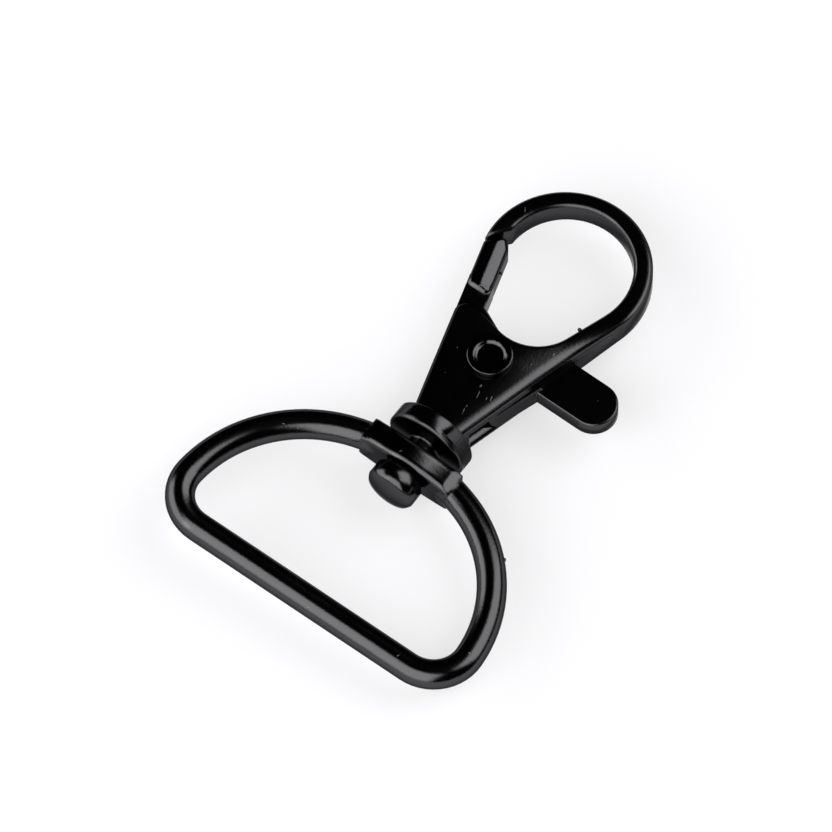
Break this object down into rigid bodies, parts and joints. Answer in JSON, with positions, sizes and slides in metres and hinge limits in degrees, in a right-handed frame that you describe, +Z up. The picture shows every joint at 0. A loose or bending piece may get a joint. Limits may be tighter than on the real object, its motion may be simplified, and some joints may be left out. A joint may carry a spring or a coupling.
{
  "type": "snap hook",
  "caption": "Swivel snap hook with a spring-loaded gate worked by a thumb tab, and a D-ring that turns on its stem for a webbing strap.",
  "frame": {"origin": "on the table, under the middle of the overall length and width", "axes": "+Y along the swivel axis from the D-ring to the hook's loop, +X to the thumb tab's side, +Z up from the table"},
  "size_m": [0.0324, 0.0482, 0.0077],
  "materials": {
    "body_coating": "satin-gloss black coating on a zinc die-casting",
    "lever_coating": "satin-gloss black coating on a zinc die-casting",
    "pin_coating": "gloss black coating on steel",
    "spring_wire": "bright drawn spring wire",
    "ring_coating": "satin-gloss black coating on a zinc die-casting"
  },
  "bodies": {
    "hook": {"hook_body": "body_coating", "pivot_pin": "pin_coating", "gate_spring": "spring_wire"},
    "gate": {"gate_lever": "lever_coating"},
    "ring": {"d_ring": "ring_coating"}
  },
  "joints": [
    {"name": "gate_pivot", "type": "hinge", "parent": "hook", "child": "gate", "pos_m": [0, 0.00513, 0.00385], "axis": [0, 0, -1], "range_deg": [0, 32], "stiffness_Nm_per_rad": 0.03, "springref_deg": -22.92, "deforming": ["gate_spring"]},
    {"name": "ring_swivel", "type": "hinge", "parent": "hook", "child": "ring", "pos_m": [0, -0.00665, 0.00385], "axis": [0, 1, 0], "continuous": true}
  ]
}
